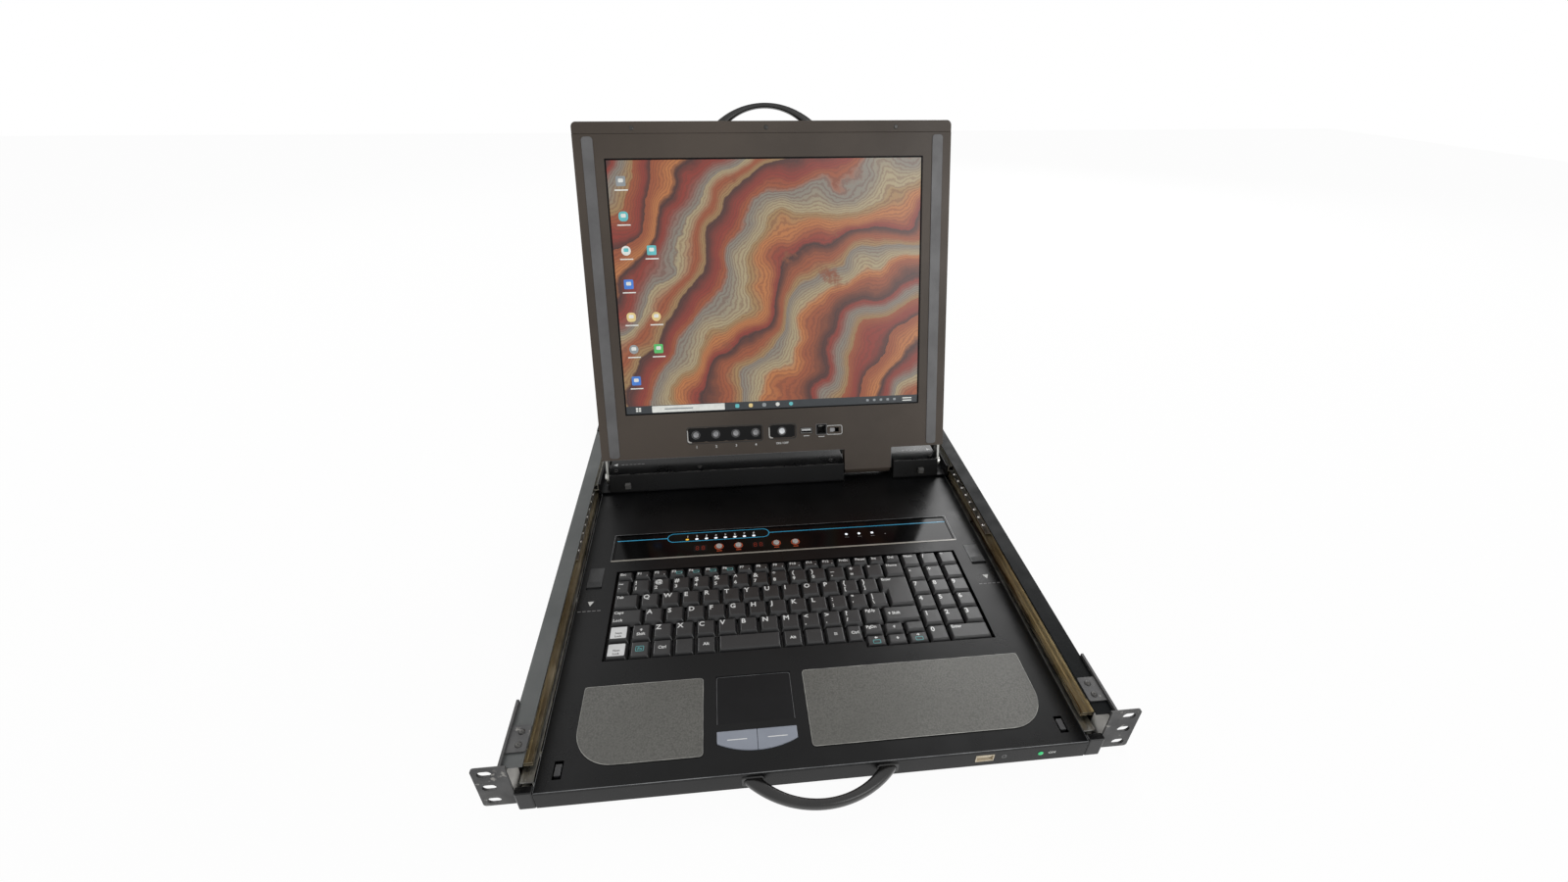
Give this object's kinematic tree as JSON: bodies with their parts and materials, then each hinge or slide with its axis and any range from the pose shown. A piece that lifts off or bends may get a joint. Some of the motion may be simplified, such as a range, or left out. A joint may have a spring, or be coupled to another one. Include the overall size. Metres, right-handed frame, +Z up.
{
  "type": "rackmount lcd console drawer",
  "caption": "One-unit rack drawer with a flip-up screen and a keyboard with touchpad, each on its own ball-bearing slides so it can be pulled out for use.",
  "frame": {"origin": "on the underside of the chassis, on its middle line, in the plane where the front ears meet the rack posts", "axes": "+X to the user's right, +Y back into the rack, +Z up"},
  "size_m": [0.4826, 0.7165, 0.4089],
  "materials": {
    "bezel_metal": "dark warm grey, satin",
    "bracket_steel": "black paint, satin",
    "button_plastic": "silver-grey",
    "cage_steel": "bright steel",
    "cap_metal": "dark warm grey, satin",
    "cap_plastic": "moulded black",
    "carriage_steel": "black satin paint",
    "catch_plastic": "moulded dark grey",
    "chassis_steel": "grey-green powder coat, satin",
    "circuit_board": "green solder mask",
    "click_plastic": "satin blue-grey",
    "clip_plastic": "moulded black",
    "connector_shell": "nickel-plated",
    "cover_steel": "black satin paint",
    "deck_steel": "fine black powder coat, satin",
    "ear_steel": "dark grey paint, worn at the edges",
    "front_metal": "black satin paint",
    "handle_plastic": "moulded black, satin",
    "hinge_steel": "bright steel",
    "key_plastic": "fine-textured black",
    "pad_vinyl": "fine-grained warm grey",
    "plate_plastic": "matte black",
    "rocker_plastic": "glossy black",
    "screen_glass": "lit display behind an anti-glare face",
    "screen_shell": "black powder coat",
    "selector_metal": "satin silver",
    "slide_steel": "zinc-plated and greased",
    "slider_plastic": "moulded grey",
    "socket_plastic": "moulded black",
    "strip_plastic": "glossy black with a bright front edge",
    "strip_trim": "mid grey, satin",
    "touch_plastic": "fine matte black"
  },
  "bodies": {
    "chassis": {"chassis_tray": "chassis_steel", "rear_cover": "chassis_steel", "rear_panel": "chassis_steel", "main_board": "circuit_board", "power_supply": "slide_steel", "power_inlet": "socket_plastic", "host_ports": "connector_shell", "rack_ears": "ear_steel", "rear_brackets": "bracket_steel", "lcd_rails": "slide_steel", "keyboard_rails": "slide_steel"},
    "mains_switch": {"power_rocker": "rocker_plastic"},
    "lcd_cage": {"lcd_cages": "cage_steel"},
    "keyboard_cage": {"keyboard_cages": "cage_steel"},
    "keyboard_module": {"keyboard_slides": "slide_steel", "keyboard_tray": "deck_steel", "deck_panel": "deck_steel", "front_bar": "front_metal", "front_end_caps": "cap_plastic", "front_handle": "handle_plastic", "front_usb_socket": "connector_shell", "palm_pads": "pad_vinyl", "touchpad": "touch_plastic", "key_plate": "plate_plastic", "control_strip": "strip_plastic", "deck_clips": "clip_plastic"},
    "carriage": {"lcd_slides": "slide_steel", "carriage_frame": "carriage_steel", "carriage_covers": "cover_steel", "hinge_barrels": "hinge_steel"},
    "screen": {"hinge_arms": "hinge_steel", "lcd_back_shell": "screen_shell", "lcd_bezel": "bezel_metal", "lcd_cap": "cap_metal", "lcd_glass": "screen_glass", "side_strips": "strip_trim", "lcd_handle": "handle_plastic", "lcd_sockets": "connector_shell"},
    "catch_left": {"catch_left": "catch_plastic"},
    "catch_right": {"catch_right": "catch_plastic"},
    "touch_button_left": {"touch_button_left": "click_plastic"},
    "touch_button_right": {"touch_button_right": "click_plastic"},
    "mode_slider": {"mode_slider": "slider_plastic"},
    "power_button": {"power_button": "button_plastic"},
    "bottom_keys": {"bottom_keys": "key_plastic"},
    "space_bar": {"space_bar": "key_plastic"},
    "lower_keys": {"lower_keys": "key_plastic"},
    "home_keys": {"home_keys": "key_plastic"},
    "upper_keys": {"upper_keys": "key_plastic"},
    "number_keys": {"number_keys": "key_plastic"},
    "function_keys": {"function_keys": "key_plastic"},
    "numpad_keys": {"numpad_keys": "key_plastic"},
    "strip_button_1": {"strip_button_1": "selector_metal"},
    "strip_button_2": {"strip_button_2": "selector_metal"},
    "strip_button_3": {"strip_button_3": "selector_metal"},
    "strip_button_4": {"strip_button_4": "selector_metal"},
    "osd_button_1": {"osd_button_1": "button_plastic"},
    "osd_button_2": {"osd_button_2": "button_plastic"},
    "osd_button_3": {"osd_button_3": "button_plastic"},
    "osd_button_4": {"osd_button_4": "button_plastic"}
  },
  "joints": [
    {"name": "keyboard_slide", "type": "slide", "parent": "chassis", "child": "keyboard_module", "axis": [0, -1, 0], "range_m": [0, 0.4]},
    {"name": "keyboard_cage_roll", "type": "slide", "parent": "chassis", "child": "keyboard_cage", "axis": [0, -1, 0], "range_m": [0, 0.2]},
    {"name": "lcd_slide", "type": "slide", "parent": "chassis", "child": "carriage", "axis": [0, -1, 0], "range_m": [-0.016, 0.4]},
    {"name": "lcd_cage_roll", "type": "slide", "parent": "chassis", "child": "lcd_cage", "axis": [0, -1, 0], "range_m": [-0.008, 0.2]},
    {"name": "lcd_hinge", "type": "hinge", "parent": "carriage", "child": "screen", "pos_m": [0, 0.3553, 0.0313], "axis": [1, 0, 0], "range_deg": [-10, 109.4]},
    {"name": "mains_rocker", "type": "hinge", "parent": "chassis", "child": "mains_switch", "pos_m": [0.148, 0.6355, 0.0205], "axis": [1, 0, 0], "range_deg": [-18, 0]},
    {"name": "mode_slide", "type": "slide", "parent": "screen", "child": "mode_slider", "axis": [1, 0, 0], "range_m": [0, 0.006]},
    {"name": "bottom_keys_press", "type": "slide", "parent": "keyboard_module", "child": "bottom_keys", "axis": [0, 0, -1], "range_m": [0, 0.002], "stiffness_N_per_m": 600},
    {"name": "space_bar_press", "type": "slide", "parent": "keyboard_module", "child": "space_bar", "axis": [0, 0, -1], "range_m": [0, 0.002], "stiffness_N_per_m": 600},
    {"name": "lower_keys_press", "type": "slide", "parent": "keyboard_module", "child": "lower_keys", "axis": [0, 0, -1], "range_m": [0, 0.002], "stiffness_N_per_m": 600},
    {"name": "home_keys_press", "type": "slide", "parent": "keyboard_module", "child": "home_keys", "axis": [0, 0, -1], "range_m": [0, 0.002], "stiffness_N_per_m": 600},
    {"name": "upper_keys_press", "type": "slide", "parent": "keyboard_module", "child": "upper_keys", "axis": [0, 0, -1], "range_m": [0, 0.002], "stiffness_N_per_m": 600},
    {"name": "number_keys_press", "type": "slide", "parent": "keyboard_module", "child": "number_keys", "axis": [0, 0, -1], "range_m": [0, 0.002], "stiffness_N_per_m": 600},
    {"name": "function_keys_press", "type": "slide", "parent": "keyboard_module", "child": "function_keys", "axis": [0, 0, -1], "range_m": [0, 0.002], "stiffness_N_per_m": 600},
    {"name": "numpad_keys_press", "type": "slide", "parent": "keyboard_module", "child": "numpad_keys", "axis": [0, 0, -1], "range_m": [0, 0.002], "stiffness_N_per_m": 600},
    {"name": "touch_button_left_press", "type": "slide", "parent": "keyboard_module", "child": "touch_button_left", "axis": [0, 0, -1], "range_m": [0, 0.001], "stiffness_N_per_m": 400},
    {"name": "catch_left_pull", "type": "slide", "parent": "keyboard_module", "child": "catch_left", "axis": [0, -1, 0], "range_m": [0, 0.003], "stiffness_N_per_m": 500},
    {"name": "touch_button_right_press", "type": "slide", "parent": "keyboard_module", "child": "touch_button_right", "axis": [0, 0, -1], "range_m": [0, 0.001], "stiffness_N_per_m": 400},
    {"name": "catch_right_pull", "type": "slide", "parent": "keyboard_module", "child": "catch_right", "axis": [0, -1, 0], "range_m": [0, 0.003], "stiffness_N_per_m": 500},
    {"name": "strip_button_1_press", "type": "slide", "parent": "keyboard_module", "child": "strip_button_1", "axis": [0, 0, -1], "range_m": [0, 0.0006], "stiffness_N_per_m": 400},
    {"name": "osd_button_1_press", "type": "slide", "parent": "screen", "child": "osd_button_1", "axis": [0, 0.9429, -0.333], "range_m": [0, 0.0008], "stiffness_N_per_m": 400},
    {"name": "strip_button_2_press", "type": "slide", "parent": "keyboard_module", "child": "strip_button_2", "axis": [0, 0, -1], "range_m": [0, 0.0006], "stiffness_N_per_m": 400},
    {"name": "osd_button_2_press", "type": "slide", "parent": "screen", "child": "osd_button_2", "axis": [0, 0.9429, -0.333], "range_m": [0, 0.0008], "stiffness_N_per_m": 400},
    {"name": "strip_button_3_press", "type": "slide", "parent": "keyboard_module", "child": "strip_button_3", "axis": [0, 0, -1], "range_m": [0, 0.0006], "stiffness_N_per_m": 400},
    {"name": "osd_button_3_press", "type": "slide", "parent": "screen", "child": "osd_button_3", "axis": [0, 0.9429, -0.333], "range_m": [0, 0.0008], "stiffness_N_per_m": 400},
    {"name": "strip_button_4_press", "type": "slide", "parent": "keyboard_module", "child": "strip_button_4", "axis": [0, 0, -1], "range_m": [0, 0.0006], "stiffness_N_per_m": 400},
    {"name": "osd_button_4_press", "type": "slide", "parent": "screen", "child": "osd_button_4", "axis": [0, 0.9429, -0.333], "range_m": [0, 0.0008], "stiffness_N_per_m": 400},
    {"name": "power_button_press", "type": "slide", "parent": "screen", "child": "power_button", "axis": [0, 0.9429, -0.333], "range_m": [0, 0.0008], "stiffness_N_per_m": 400}
  ],
  "couplings": [
    {"joint": "keyboard_cage_roll", "follows": "keyboard_slide", "ratio": 0.5},
    {"joint": "lcd_cage_roll", "follows": "lcd_slide", "ratio": 0.5}
  ]
}
